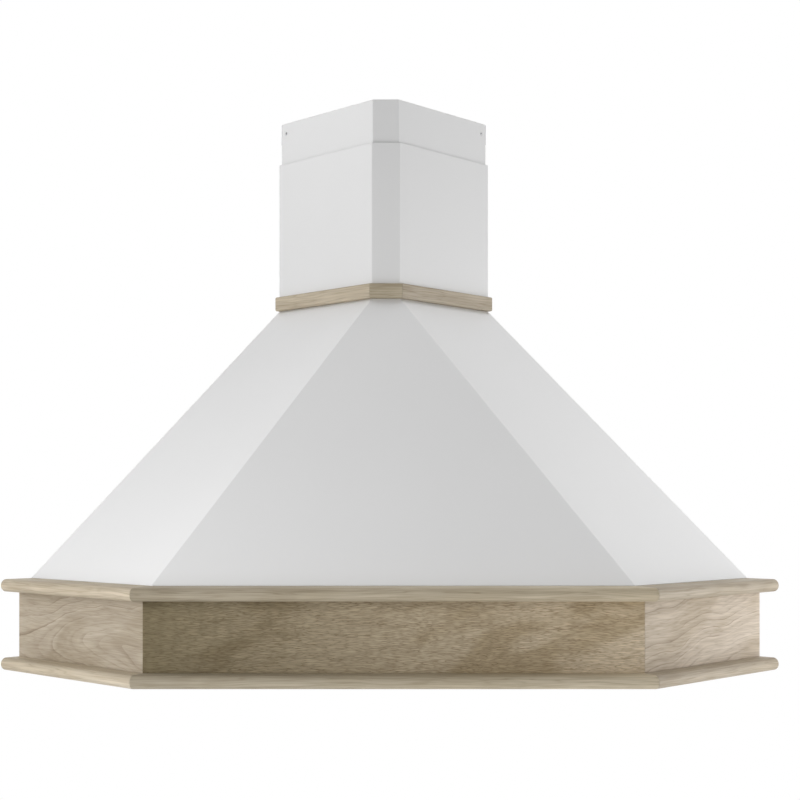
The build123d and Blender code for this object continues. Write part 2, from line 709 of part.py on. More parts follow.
# Grease filter: frame with a rounded rear edge on the hinge line, mesh in its groove, latch in its front rail
filter_base = panel_base
filter_inner = opening_inner + filter_clearance
window_length = filter_depth - filter_front_rail - filter_rail
window_y = filter_front + filter_front_rail + window_length / 2
window_width = filter_width - 2 * filter_rail
window_x = filter_inner + filter_width / 2
pocket_length = latch_length + latch_travel + 2 * latch_play
pocket_front = filter_front + 5
tongue_base = filter_base + 1
tongue_gauge = latch_thickness - 1.5
with BuildPart() as filter_frame:
    with BuildSketch(Plane.YZ.offset(filter_inner)):
        with Locations((filter_front, hinge_z)):
            Rectangle(filter_depth, filter_thickness, align=(Align.MIN, Align.CENTER))
        with Locations((hinge_y, hinge_z)):
            Circle(filter_thickness / 2)
    extrude(amount=filter_width)
    with Locations((window_x, window_y, hinge_z)):
        Box(window_width, window_length, filter_thickness, mode=Mode.SUBTRACT)
        Box(window_width + 2 * mesh_groove, window_length + 2 * mesh_groove, mesh_gauge, mode=Mode.SUBTRACT)
    with Locations((window_x, pocket_front, filter_base)):
        Box(latch_width + 2 * latch_play, pocket_length, latch_thickness + latch_play,
            align=(Align.CENTER, Align.MIN, Align.MIN), mode=Mode.SUBTRACT)
    with Locations((window_x, filter_front, tongue_base)):
        Box(latch_tongue + 2 * latch_play, pocket_length, tongue_gauge + 2 * latch_play,
            align=(Align.CENTER, Align.MIN, Align.MIN), mode=Mode.SUBTRACT)
    pin_reach = filter_clearance + ear_gauge + 1
    for edge, way in ((filter_inner, -1), (filter_inner + filter_width, 1)):
        with BuildSketch(Plane(origin=(edge, hinge_y, hinge_z), z_dir=(way, 0, 0))):
            Circle(pivot_radius)
        extrude(amount=pin_reach)
mesh_x = window_width / mesh_columns
mesh_y = window_length / mesh_rows
with BuildPart() as filter_mesh:
    with BuildSketch(Plane.XY.offset(hinge_z - mesh_gauge / 2)):
        with Locations((window_x, window_y)):
            Rectangle(window_width + 2 * mesh_groove, window_length + 2 * mesh_groove)
            with GridLocations(mesh_x, mesh_y, mesh_columns, mesh_rows):
                Polygon((-0.4 * mesh_x, 0), (0, -0.4 * mesh_y), (0.4 * mesh_x, 0), (0, 0.4 * mesh_y),
                        mode=Mode.SUBTRACT)
    extrude(amount=mesh_gauge)
with BuildPart() as filter_latch:
    with Locations((window_x, pocket_front + latch_play, filter_base)):
        Box(latch_width, latch_length, latch_thickness, align=(Align.CENTER, Align.MIN, Align.MIN))
    with Locations((window_x, opening_front + latch_play, tongue_base + latch_play)):
        Box(latch_tongue, pocket_front - opening_front + latch_length / 2, tongue_gauge,
            align=(Align.CENTER, Align.MIN, Align.MIN))
for piece, name in ((filter_frame, "frame"), (filter_mesh, "mesh"), (filter_latch, "latch")):
    save(piece, f"filter_right_{name}")
    save(mirrored(piece), f"filter_left_{name}")

# Lamps: bezel through the panel, lens in its mouth, LED module above
lens_radius = lamp_sleeve - 3
for spot, side in zip(lamp_spots, ("right", "left")):
    with BuildPart() as lamp_bezel:
        with BuildSketch(Plane.XY.offset(panel_base)):
            with Locations(spot):
                Circle(lamp_radius)
                Circle(lens_radius, mode=Mode.SUBTRACT)
        extrude(amount=-bezel_gauge)
        with BuildSketch(Plane.XY.offset(panel_base - bezel_gauge)):
            with Locations(spot):
                Circle(lamp_sleeve)
                Circle(lens_radius, mode=Mode.SUBTRACT)
        extrude(amount=lamp_height)
    with BuildPart() as lamp_glass:
        with BuildSketch(Plane.XY.offset(panel_base - bezel_gauge / 2)):
            with Locations(spot):
                Circle(lens_radius)
        extrude(amount=lamp_lens)
    with BuildPart() as lamp_module:
        with BuildSketch(Plane.XY.offset(panel_base - bezel_gauge + lamp_height)):
            with Locations(spot):
                Circle(lamp_sleeve)
        extrude(amount=lamp_base)
        with BuildSketch(Plane.XY.offset(panel_base - bezel_gauge + lamp_height + lamp_base)):
            with Locations(spot):
                with GridLocations(lamp_sleeve / 4, 1, 5, 1):
                    Rectangle(lamp_sleeve / 14, 1.2 * lens_radius)
        extrude(amount=lamp_fins)
    save(lamp_bezel, f"lamp_{side}_bezel")
    save(lamp_glass, f"lamp_{side}_lens")
    save(lamp_module, f"lamp_{side}_module")

# Control bezel, the board with its switches on top of it, and the push buttons
bezel_base = panel_base - bezel_gauge
body_length = bezel_length - 2 * bezel_rim
body_width = bezel_width - 2 * bezel_rim
button_spots = [((i - (button_count - 1) / 2) * button_pitch, control_y) for i in range(button_count)]
switch_base = panel_base + button_shoulder + button_travel + button_play
with BuildPart() as control_bezel:
    with BuildSketch(Plane.XY.offset(bezel_base)):
        with Locations((0, control_y)):
            RectangleRounded(bezel_length, bezel_width, 5)
        with Locations(*button_spots):
            Rectangle(button_length + 2 * button_play, button_width + 2 * button_play, mode=Mode.SUBTRACT)
    extrude(amount=bezel_gauge)
    with BuildSketch(Plane.XY.offset(panel_base)):
        with Locations((0, control_y)):
            Rectangle(body_length, body_width)
            Rectangle(body_length - 2 * bezel_gauge, body_width - 2 * bezel_gauge, mode=Mode.SUBTRACT)
    extrude(amount=bezel_depth)
with BuildPart() as control_board:
    with BuildSketch(Plane.XY.offset(panel_base + bezel_depth)):
        with Locations((0, control_y)):
            Rectangle(body_length, body_width)
    extrude(amount=board_gauge)
    with BuildSketch(Plane.XY.offset(switch_base)):
        with Locations(*button_spots):
            Rectangle(6, 6)
    extrude(amount=panel_base + bezel_depth - switch_base)
save(control_bezel, "control_bezel")
save(control_board, "control_board")
for spot, name in zip(button_spots, ("light", "off", "speed_1", "speed_2", "speed_3")):
    with BuildPart() as button:
        with BuildSketch(Plane.XY.offset(bezel_base - button_proud)):
            with Locations(spot):
                RectangleRounded(button_length, button_width, 1.5)
        extrude(amount=button_proud + bezel_gauge + button_shoulder)
        fillet(button.edges().group_by(Axis.Z)[0], 0.8)
        with BuildSketch(Plane.XY.offset(panel_base)):
            with Locations(spot):
                Rectangle(button_length + 4 * button_play, button_width + 4 * button_play)
        extrude(amount=button_shoulder)
    save(button, f"button_{name}")

# Electronics box on the right rear panel, its cover, the run capacitor above it
box_wall_plane = right_wall.offset(panel_gauge)
with BuildPart() as electronics_box:
    with BuildSketch(box_wall_plane):
        with Locations((box_along, box_level)):
            RectangleRounded(box_length, box_height, 4)
    extrude(amount=box_depth)
    with BuildSketch(box_wall_plane.offset(box_wall)):
        with Locations((box_along, box_level)):
            Rectangle(box_length - 2 * box_wall, box_height - 2 * box_wall)
    extrude(amount=box_depth, mode=Mode.SUBTRACT)
with BuildPart() as electronics_cover:
    with BuildSketch(box_wall_plane.offset(box_depth)):
        with Locations((box_along, box_level)):
            RectangleRounded(box_length, box_height, 4)
    extrude(amount=box_wall)
    with BuildSketch(box_wall_plane.offset(box_depth)):
        with Locations((box_along, box_level)):
            Rectangle(box_length - 2 * box_wall - fit_gap, box_height - 2 * box_wall - fit_gap)
            Rectangle(box_length - 5 * box_wall, box_height - 5 * box_wall, mode=Mode.SUBTRACT)
    extrude(amount=-2 * box_wall)
save(electronics_box, "electronics_box")
save(electronics_cover, "electronics_cover")
capacitor_plane = Plane(origin=(*wall_point(box_along, panel_gauge + capacitor_radius),
                                box_level + box_height / 2 + capacitor_radius), z_dir=(1, -1, 0))
with BuildPart() as capacitor:
    with Locations(capacitor_plane):
        Cylinder(capacitor_radius, capacitor_length)
    fillet(capacitor.edges(), 2)
save(capacitor, "capacitor")

# Mains cable gland in the top plate: nut below, body and cap above
with BuildPart() as cable_gland:
    with BuildSketch(Plane.XY.offset(case_top - gland_nut)):
        with Locations((0, gland_y)):
            RegularPolygon(gland_radius, 6)
    extrude(amount=gland_nut)
    with BuildSketch(Plane.XY.offset(case_top)):
        with Locations((0, gland_y)):
            Circle(gland_radius - gland_wall)
    extrude(amount=plate_gauge)
    with BuildSketch(Plane.XY.offset(plate_top)):
        with Locations((0, gland_y)):
            RegularPolygon(gland_radius, 6)
    extrude(amount=gland_hex)
    with BuildSketch(Plane.XY.offset(plate_top + gland_hex)):
        with Locations((0, gland_y)):
            Circle(gland_radius - gland_wall)
    extrude(amount=gland_cap)
    fillet(cable_gland.edges().group_by(Axis.Z)[-1], gland_wall)
    with Locations((0, gland_y, plate_top)):
        Hole(gland_bore)
save(cable_gland, "cable_gland")
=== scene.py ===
# %% [markdown]
# # Corner range hood
# The hood hangs where two kitchen walls meet. A white steel canopy stands in a frame of raw oak, and a
# chimney in two telescoping lengths hides the duct. Sizes and joints come from the CAD model, which is
# loaded as a fixed frame, so this lesson is about finishes and about the small pieces that repeat. Lengths
# are in metres, +Y points into the corner of the room and +Z is up.

# %% Load the frame
import math

import bmesh
import bpy
from mathutils import Matrix, Vector


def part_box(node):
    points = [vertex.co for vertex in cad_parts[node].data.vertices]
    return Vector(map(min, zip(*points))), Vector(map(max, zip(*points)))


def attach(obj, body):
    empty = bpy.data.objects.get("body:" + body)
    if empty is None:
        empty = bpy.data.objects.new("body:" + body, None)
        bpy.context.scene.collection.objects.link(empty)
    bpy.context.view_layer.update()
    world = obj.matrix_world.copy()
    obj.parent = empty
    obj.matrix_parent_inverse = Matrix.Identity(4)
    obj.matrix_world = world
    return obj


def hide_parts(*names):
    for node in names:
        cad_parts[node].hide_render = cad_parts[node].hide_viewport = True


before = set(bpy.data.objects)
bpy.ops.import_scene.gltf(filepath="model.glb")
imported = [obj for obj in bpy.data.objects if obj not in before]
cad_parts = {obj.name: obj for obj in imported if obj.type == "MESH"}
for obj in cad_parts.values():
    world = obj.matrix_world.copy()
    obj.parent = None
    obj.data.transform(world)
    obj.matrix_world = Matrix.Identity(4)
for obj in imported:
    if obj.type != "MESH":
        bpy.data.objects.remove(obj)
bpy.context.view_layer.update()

scene = bpy.context.scene
scene.view_settings.view_transform = "Standard"

# %% [markdown]
# ## Camera
# The photograph was taken level, from in front and a little to the left, with the lens axis below the
# middle of the picture. A tilted camera would make the chimney's upright edges lean, so the camera stays
# level and its picture is shifted instead, as on a view camera.

# %% Camera
lens = bpy.data.cameras.new("view_camera")
lens.sensor_width = 36.0
lens.lens = 64.27
lens.shift_x = 0.06156
lens.shift_y = 0.13069
view_camera = bpy.data.objects.new("view_camera", lens)
view_camera.location = (-0.05025, -2.336, 0.213)
view_camera.rotation_euler = (math.radians(90), 0, 0)
scene.collection.objects.link(view_camera)
scene.camera = view_camera
print("camera stands", round(-view_camera.location.y, 2), "m in front of the corner")

# %% [markdown]
# ## A way to write node trees
# A finish is a sum of patterns, and a sum is easier to read as a line of Python than as boxes and links.
# The class below holds one socket. Arithmetic on it adds Math nodes, and add() brings in any other node
# with its settings and the values or links of its sockets. It serves shader trees and geometry trees alike.

# %% Node helper


class Wire:
    """A socket in a node tree. Arithmetic on it adds Math nodes."""

    def __init__(self, tree, socket=None):
        self.tree = tree
        self.socket = socket

    def feed(self, node, inputs):
        for place, value in inputs.items():
            if isinstance(value, Wire):
                self.tree.links.new(value.socket, node.inputs[place])
            else:
                node.inputs[place].default_value = value

    def add(self, kind, inputs=None, out=0, **settings):
        node = self.tree.nodes.new(kind)
        for name, value in settings.items():
            setattr(node, name, value)
        self.feed(node, inputs or {})
        return Wire(self.tree, node.outputs[out] if node.outputs else None)

    def pin(self, name):
        """Another output of the same node."""
        return Wire(self.tree, self.socket.node.outputs[name])

    def maths(self, operation, *values):
        return self.add("ShaderNodeMath", dict(enumerate(values)), operation=operation)

    def __add__(self, other):
        return self.maths("ADD", self, other)

    def __radd__(self, other):
        return self.maths("ADD", other, self)

    def __sub__(self, other):
        return self.maths("SUBTRACT", self, other)

    def __rsub__(self, other):
        return self.maths("SUBTRACT", other, self)

    def __mul__(self, other):
        return self.maths("MULTIPLY", self, other)

    def __rmul__(self, other):
        return self.maths("MULTIPLY", other, self)

    def __truediv__(self, other):
        return self.maths("DIVIDE", self, other)

    def __rtruediv__(self, other):
        return self.maths("DIVIDE", other, self)

    def step(self, low, high):
        """Rises smoothly from 0 at low to 1 at high, or falls where low is the larger."""
        return self.add("ShaderNodeMapRange", {"Value": self, "From Min": low, "From Max": high},
                        interpolation_type="SMOOTHSTEP")

    def between(self, first, second, how="MIX"):
        """A colour between two others, with this wire as the share of the second."""
        return self.add("ShaderNodeMix", {0: self, 6: first, 7: second}, out=2,
                        data_type="RGBA", blend_type=how)

    def multiply_tint(self, tone, tint):
        """The tone multiplied by the tint, as far as this wire says."""
        return self.between(tone, tint, "MULTIPLY")


print("node helper ready")

# %% [markdown]
# ## Studio
# The background of the photograph is plain white. The world shows white to the camera and in reflections,
# and gives a weaker, even light to everything else, so that white paint still has its tones. Softboxes high
# on both sides light the slopes, a near one on the right makes that slope brighter towards its foot, one in
# front fills the boards, and two low ones reach the undersides of the mouldings. Two more stand behind, for
# the side that faces the walls. One big lamp would be simpler, but then the folds of the sheet would hardly
# show. The pale floor lies below the picture and catches the shadow. It fades out before its edge, and a
# camera below sees through it.

# %% World
white = (1, 1, 1, 1)
even_light = 0.2


def looked_at(wire):
    """1 for rays that show a surface, also in gloss or glass, and 0 for those that only carry its light."""
    ray = wire.add("ShaderNodeLightPath", out="Is Camera Ray")
    return wire.maths("MINIMUM", ray + ray.pin("Is Glossy Ray") + ray.pin("Is Transmission Ray"), 1.0)


studio = bpy.data.worlds.new("studio")
studio.use_nodes = True
scene.world = studio
sky = Wire(studio.node_tree)
sky.feed(studio.node_tree.nodes["Background"], {
    "Color": white, "Strength": looked_at(sky) * (1 - even_light) + even_light})
print("even light:", even_light)

# %% Lamps
canopy_middle = (0, -0.4, 0.25)
back_middle = (0, -0.2, 0.35)


def softbox(name, place, aim, side, watts):
    lamp = bpy.data.lights.new(name, "AREA")
    lamp.shape = "SQUARE"
    lamp.size = side
    lamp.energy = watts
    box = bpy.data.objects.new(name, lamp)
    box.location = place
    box.rotation_euler = (Vector(aim) - Vector(place)).to_track_quat("-Z", "Y").to_euler()
    box.visible_camera = False
    scene.collection.objects.link(box)


softbox("left_high_softbox", (-2.4, -0.4, 1.9), canopy_middle, side=1.8, watts=24.5)
softbox("left_top_softbox", (-1.6, 0.1, 2.5), canopy_middle, side=1.8, watts=7)
softbox("right_top_softbox", (1.6, 0.1, 2.5), canopy_middle, side=1.8, watts=22.5)
softbox("right_near_softbox", (1.35, -0.6, 0.35), (0.3, -0.45, 0.2), side=1.0, watts=6.8)
softbox("front_softbox", (-0.9, -1.7, 0.3), (-0.15, -0.55, 0.2), side=1.0, watts=11)
softbox("left_low_softbox", (-0.85, -0.95, -0.4), (-0.3, -0.45, 0.05), side=1.0, watts=2.0)
softbox("right_low_softbox", (0.9, -0.85, -0.4), (0.32, -0.42, 0.05), side=1.0, watts=3.8)
softbox("left_back_softbox", (-1.0, 2.3, 0.3), back_middle, side=1.6, watts=13)
softbox("right_back_softbox", (1.0, 2.3, 0.3), back_middle, side=1.6, watts=13)

# %% Floor sheet
floor_level = -0.95
floor_reach = 3.0


def made(name, shape):
    """An object from a finished bmesh."""
    mesh = bpy.data.meshes.new(name)
    shape.to_mesh(mesh)
    shape.free()
    piece = bpy.data.objects.new(name, mesh)
    scene.collection.objects.link(piece)
    return piece


floor_shape = bmesh.new()
bmesh.ops.create_grid(floor_shape, x_segments=2, y_segments=2, size=floor_reach,
                      matrix=Matrix.Translation((0, 0, floor_level)))
floor = made("floor", floor_shape)
print("floor at", floor_level)

# %% Floor finish
fade_start, fade_end = 1.5, 2.9
floor_glow = 0.35


def new_finish(name):
    """A material, a wire into its tree, and the place on the surface in Object coordinates."""
    material = bpy.data.materials.new(name)
    material.use_nodes = True
    wire = Wire(material.node_tree)
    return material, wire, wire.add("ShaderNodeTexCoord", out="Object")


def off_axis(place):
    """How far a place lies from the upright axis."""
    flat = place.add("ShaderNodeVectorMath", {0: place, 1: (1, 1, 0)}, operation="MULTIPLY")
    return place.add("ShaderNodeVectorMath", {0: flat}, out="Value", operation="LENGTH")


floor_paint, ground, spot = new_finish("pale_floor")
from_below = ground.add("ShaderNodeNewGeometry", out="Backfacing")
faded = off_axis(spot).step(fade_start, fade_end)
pale = ground.add("ShaderNodeAddShader", {
    0: ground.add("ShaderNodeBsdfDiffuse", {"Color": (0.86, 0.86, 0.86, 1)}),
    1: ground.add("ShaderNodeEmission", {"Color": white, "Strength": looked_at(ground) * floor_glow})})
clear = ground.add("ShaderNodeBsdfTransparent")
ground.feed(floor_paint.node_tree.nodes["Material Output"], {
    "Surface": ground.add("ShaderNodeMixShader", {
        0: ground.maths("MAXIMUM", from_below, faded), 1: pale, 2: clear})})
floor.data.materials.append(floor_paint)
print("floor fades out from", fade_start, "to", fade_end)

# %% [markdown]
# ## Finishes
# Every finish below is computed from Object coordinates, which start at the corner of the room for every
# piece. A pattern then has a real size in metres and runs on from one face to the next, with nothing to
# unwrap. Real edges are never quite sharp. Where that shows, a Bevel node rounds them in the shading alone,
# so the CAD meshes stay as they are, and the bump is added to that.

# %% Finish helpers


def noise(place, scale, detail=2.0, out=0):
    return place.add("ShaderNodeTexNoise", {"Vector": place, "Scale": scale, "Detail": detail}, out=out)


def turned(place, degrees):
    return place.add("ShaderNodeMapping", {"Vector": place, "Rotation": (0, 0, math.radians(degrees))})


def relief(height, strength, depth, edge=0.0):
    """A bump from a height, on edges that are rounded by the given radius."""
    inputs = {"Height": height, "Strength": strength, "Distance": depth}
    if edge:
        inputs["Normal"] = height.add("ShaderNodeBevel", {"Radius": edge}, samples=4)
    return height.add("ShaderNodeBump", inputs)


def dress(wire, inputs):
    wire.feed(wire.tree.nodes["Principled BSDF"], inputs)


def paint(material, *names):
    for name in names:
        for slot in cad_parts[name].material_slots:
            slot.material = material


print("finish helpers ready")

# %% [markdown]
# ## Oak
# The frame is raw, sanded oak with no lacquer. Oak shows growth rings, a dark line of pores at the start of
# each ring, short pores and fibres along the grain, and slow patches of tone. The front board is dark, with
# fine fibres, and grows paler towards the right, as the front mouldings do. That rise is painted light, for
# light that falls from the right. The side boards are pale with bold rings, and the mouldings carry painted
# shade on their upper sides, a tone darker. A picture of wood would repeat and smear at the mitres, so the
# wood is computed in space instead. Each board has a log of its own, and the rails of one side share one.
# The rings of a log lie round its heart line, and the faces and mitred ends all cut through the same rings.
# A Mapping node turns the pattern so that its X follows the grain.

# %% Wood patterns


def streaks(grain, along, across, detail=2.0):
    """Noise drawn out along the grain: marks per metre along it and across it."""
    drawn = grain.add("ShaderNodeVectorMath", {0: grain, 1: (along, across, across)}, operation="MULTIPLY")
    return noise(drawn, 1.0, detail)


def growth_rings(grain, heart, climb, opening, ring, wander):
    """Years counted outwards from the heart line, which runs through heart (along, deep, up).

    Along the grain the heart line rises by the slope climb and comes forward by the slope opening. A year
    is one ring thick, and the rings wander from true circles.
    """
    along = grain.add("ShaderNodeSeparateXYZ", {0: grain})
    sway = streaks(grain, 9, 6, detail=1.0) - 0.5
    roll = streaks(grain, 6, 10, detail=0.0) - 0.5
    ripple = streaks(grain, 26, 70, detail=1.0) - 0.5
    past = along - heart[0]
    rise = along.pin("Z") - heart[2] - past * climb + sway * wander + ripple * (wander * 0.14)
    reach = along.pin("Y") - heart[1] + past * opening + roll * (wander * 0.4)
    return grain.maths("SQRT", rise * rise + reach * reach) / ring


print("wood patterns ready")

# %% Oak finish
grain_wave = 0.010
patch_slant = 22
patch_tint = (0.68, 0.635, 0.53, 1)
decade_tint = (0.80, 0.775, 0.74, 1)
ring_tint = (0.50, 0.44, 0.38, 1)
pore_tint = (0.50, 0.43, 0.32, 1)
shine_tint = (1.28, 1.28, 1.27, 1)
fibre_tint = (0.84, 0.83, 0.80, 1)
# The tint of the painted shade on faces that look up.
painted_top_shade_tint = (0.60, 0.58, 0.53, 1)


def oak(name, turn, rings, tones, span, lines, patches, dashes, dash, painted_top_shade=0.0):
    """Raw oak with its grain turned by so many degrees.

    The two tones lie at the ends of the span along the grain; on the front pieces the rise between them is
    painted light. Ring lines, slow patches and fine dashes each have a strength, dash is the length and width
    of one dash, and the top shade strength darkens what faces up, a shade painted into the colour.
    """
    material, wire, place = new_finish(name)
    grain = turned(place, turn)

    # The early wood of a year is dark. Some years are darker, and each line breaks up along the grain.
    years = growth_rings(grain, **rings)
    luck = wire.add("ShaderNodeTexWhiteNoise", {"W": wire.maths("FLOOR", years)}, noise_dimensions="1D")
    decade = wire.add("ShaderNodeTexNoise", {"W": years, "Scale": 0.55, "Detail": 2.0},
                      noise_dimensions="1D")
    early = wire.maths("FRACT", years).step(0.45, 0.0)
    broken = streaks(grain, 16, 60).step(0.3, 0.65)
    line = early * luck * luck * (broken * 0.7 + 0.3) * lines

    # The grain waves a little, and slow patches lie aslant in it.
    waved = wire.add("ShaderNodeVectorMath", {
        0: noise(grain, 9.0, detail=1.0, out="Color"), 1: (0.0, grain_wave, grain_wave), 2: grain},
        operation="MULTIPLY_ADD")
    slant = wire.add("ShaderNodeMapping", {"Vector": waved, "Rotation": (0, math.radians(patch_slant), 0)})
    cloud = streaks(slant, 7, 19)
    fibre = streaks(waved, 24, 1500)

    # Dashes of pores lie where drawn-out noise crosses its middle, and the wood between them shines.
    ridge = wire.maths("ABSOLUTE", streaks(waved, 1 / dash[0], 1 / dash[1], detail=1.0) - 0.5)
    pore = ridge.step(0.075, 0.0) * (early * 0.3 + 0.7) * dashes
    shine = ridge.step(0.08, 0.2) * dashes

    # Each kind of mark multiplies the tone by its tint in turn. The last, on faces that look up, is painted
    # shade.
    along = wire.add("ShaderNodeSeparateXYZ", {0: grain})
    facing = wire.add("ShaderNodeNewGeometry", out="Normal")
    upward = wire.add("ShaderNodeSeparateXYZ", {0: facing}, out="Z")
    tone = ((along - span[0]) / (span[1] - span[0])).between(*tones)
    tone = (cloud.step(0.42, 0.58) * patches).multiply_tint(tone, patch_tint)
    tone = (decade.step(0.3, 0.7) * lines * 0.9).multiply_tint(tone, decade_tint)
    tone = line.multiply_tint(tone, ring_tint)
    tone = pore.multiply_tint(tone, pore_tint)
    tone = shine.multiply_tint(tone, shine_tint)
    tone = (fibre.step(0.3, 0.7) * 0.5).multiply_tint(tone, fibre_tint)
    # Painted shade: faces that look up are darkened, shade painted into the colour.
    tone = (upward.step(-0.2, 0.95) * painted_top_shade).multiply_tint(tone, painted_top_shade_tint)
    height = fibre * 0.25 - pore * 0.6 - line * 0.08
    dress(wire, {"Base Color": tone, "Roughness": 0.58 + pore * 0.15 + fibre * 0.1,
                 "Normal": relief(height, strength=0.4, depth=0.0008, edge=0.0012)})
    return material


print("oak finish ready")

# %% Oak boards
front_rings = {"heart": (0.0, -0.42, 0.16), "climb": 0.0, "opening": 0.02, "ring": 0.006, "wander": 0.05}
left_rings = {"heart": (0.30, -0.655, 0.042), "climb": 0.02, "opening": 0.12, "ring": 0.004, "wander": 0.05}
right_rings = {"heart": (-0.13, -0.64, 0.0), "climb": 0.13, "opening": 0.05, "ring": 0.0045, "wander": 0.05}

# Painted light: the front board's tones rise towards the right, for light that falls from the right.
paint(oak("oak_front_board", turn=0, rings=front_rings,
          tones=((0.172, 0.137, 0.07, 1), (0.645, 0.54, 0.396, 1)), span=(-0.29, 0.29),
          lines=0.15, patches=0.8, dashes=0.85, dash=(0.016, 0.001)), "frame_board_front")
paint(oak("oak_left_board", turn=45, rings=left_rings,
          tones=((0.489, 0.425, 0.338, 1), (0.45, 0.39, 0.309, 1)), span=(0.0, 0.27),
          lines=0.9, patches=0.35, dashes=0.3, dash=(0.05, 0.003)), "frame_board_left")
paint(oak("oak_right_board", turn=-45, rings=right_rings,
          tones=((0.56, 0.482, 0.386, 1), (0.695, 0.61, 0.515, 1)), span=(-0.27, 0.0),
          lines=0.95, patches=0.45, dashes=0.3, dash=(0.05, 0.003)), "frame_board_right")
print("three oak boards done")

# %% Oak mouldings and trim
rail_rings = {"heart": (0.0, -0.30, 0.30), "climb": 0.0, "opening": 0.02, "ring": 0.0045, "wander": 0.02}
# Painted light: the front rails' tones rise towards the right, for light that falls from the right.
front_tones_painted_light = ((0.385, 0.337, 0.255, 1), (0.625, 0.548, 0.414, 1))
left_tone = (0.59, 0.515, 0.403, 1)
right_tone = (0.50, 0.435, 0.347, 1)

# Each side gives its tones and the strength of the painted shade on its upper faces.
for side, turn, tones, painted_top_shade in (
        ("front", 0, front_tones_painted_light, 0.4),
        ("left", 45, (left_tone, left_tone), 0.6),
        ("right", -45, (right_tone, right_tone), 0.6)):
    lengths = [f"lower_moulding_{side}", f"upper_moulding_{side}", f"collar_trim_{side}"]
    paint(oak(f"oak_{side}_rail", turn, rail_rings, tones, span=(-0.3, 0.3), lines=0.35, patches=0.25,
              dashes=0.4, dash=(0.12, 0.003), painted_top_shade=painted_top_shade), *lengths)
    print("oak on", lengths)

# %% [markdown]
# ## White paint
# Canopy and chimney are steel sheet with a baked satin coat. It looks even from afar, and near to it has a
# fine orange peel and slow, faint changes of tone. The folds are rounded a little, where the light catches
# them. Roughness and bump carry the fine detail, because stains would look like dirt on a new hood.

# %% White paint


def satin_white(name, colour, shadow):
    material, wire, place = new_finish(name)
    slow = noise(place, 3.0)
    peel = noise(place, 420.0)
    speck = noise(place, 1300.0, detail=1.0)
    dress(wire, {"Base Color": slow.step(0.3, 0.7).between(colour, shadow), "Roughness": 0.36 + peel * 0.1,
                 "Normal": relief(peel + speck * 0.3, strength=0.06, depth=0.0006, edge=0.0015)})
    return material


paint(satin_white("satin_white", (0.80, 0.80, 0.80, 1), (0.785, 0.785, 0.785, 1)),
      "canopy_shell", "canopy_skirt", "lower_chimney", "upper_chimney", "inner_panel")
print("painted sheets done")

# %% [markdown]
# ## Metals
# The plates against the wall are hot-dip zinc steel, whose coat freezes into leaf-like crystals of slightly
# different brightness: Voronoi cells with a random grey. The filters and lamp rings are aluminium and
# nickel, brushed, which is noise drawn out in one direction. The motor and the lamp bodies are die cast and
# only grainy. One smooth metal for all would be quicker, but then they would look like a single sheet.

# %% Spangled zinc
leaf_bend = 0.012


def spangled_zinc(name):
    material, wire, place = new_finish(name)
    bent = wire.add("ShaderNodeVectorMath", {
        0: noise(place, 60.0, out="Color"), 1: (leaf_bend, leaf_bend, leaf_bend), 2: place},
        operation="MULTIPLY_ADD")
    leaf = wire.add("ShaderNodeTexVoronoi", {"Vector": bent, "Scale": 75.0}, out="Color")
    grey = wire.add("ShaderNodeSeparateColor", {0: leaf})
    dust = noise(place, 500.0)
    dress(wire, {"Base Color": grey.between((0.33, 0.342, 0.355, 1), (0.45, 0.46, 0.472, 1)),
                 "Metallic": 0.9, "Roughness": 0.36 + grey.pin("Green") * 0.16 + dust * 0.06,
                 "Normal": relief(dust + grey * 0.4, strength=0.08, depth=0.0004)})
    return material


paint(spangled_zinc("spangled_zinc"), "rear_panel_left", "rear_panel_right", "rear_spine",
      "hanging_plate_left", "hanging_plate_right", "chimney_bracket", "top_plate", "motor_bracket",
      "motor_shaft", "pivot_ears", "damper_pins", "frame_screws")
print("zinc plates done")

# %% Brushed metals


def brushed(name, colour, worn, turn, rough):
    material, wire, place = new_finish(name)
    grain = turned(place, turn)
    hair = streaks(grain, 14, 1400)
    band = streaks(grain, 3, 60)
    dress(wire, {"Base Color": (hair * 0.6 + band * 0.4).between(colour, worn), "Metallic": 1.0,
                 "Roughness": rough + hair * 0.14,
                 "Normal": relief(hair, strength=0.12, depth=0.0003, edge=0.0008)})
    return material


aluminium = brushed("brushed_aluminium", (0.62, 0.63, 0.64, 1), (0.52, 0.53, 0.545, 1), turn=0, rough=0.28)
nickel = brushed("satin_nickel", (0.52, 0.51, 0.495, 1), (0.43, 0.425, 0.41, 1), turn=90, rough=0.24)
paint(aluminium, "filter_left_frame", "filter_right_frame", "filter_left_mesh", "filter_right_mesh")
paint(nickel, "lamp_left_bezel", "lamp_right_bezel")
print("filters and lamp rings done")

# %% Die castings


def cast_metal(name, colour, worn):
    material, wire, place = new_finish(name)
    grit = noise(place, 900.0, detail=3.0)
    flow = noise(place, 40.0, detail=3.0)
    dress(wire, {"Base Color": flow.step(0.3, 0.7).between(colour, worn), "Metallic": 0.85,
                 "Roughness": 0.42 + grit * 0.2, "Normal": relief(grit, strength=0.3, depth=0.0004)})
    return material


paint(cast_metal("die_cast", (0.56, 0.57, 0.58, 1), (0.47, 0.48, 0.49, 1)),
      "motor_body", "capacitor", "lamp_left_module", "lamp_right_module")
print("castings done")

# %% [markdown]
# ## Plastics, glass and the circuit board
# Moulded plastic has a fine, even grain from the etched tool and a sheen that varies with it. Noise would
# look like stone, so the grain is small Voronoi cells. The keys are glossier than the panel round them. The
# lamp lenses are frosted glass with rings pressed in, which a sine of the distance from the middle gives
# without any more mesh. The circuit board has its green mask over copper tracks.

# %% Plastics


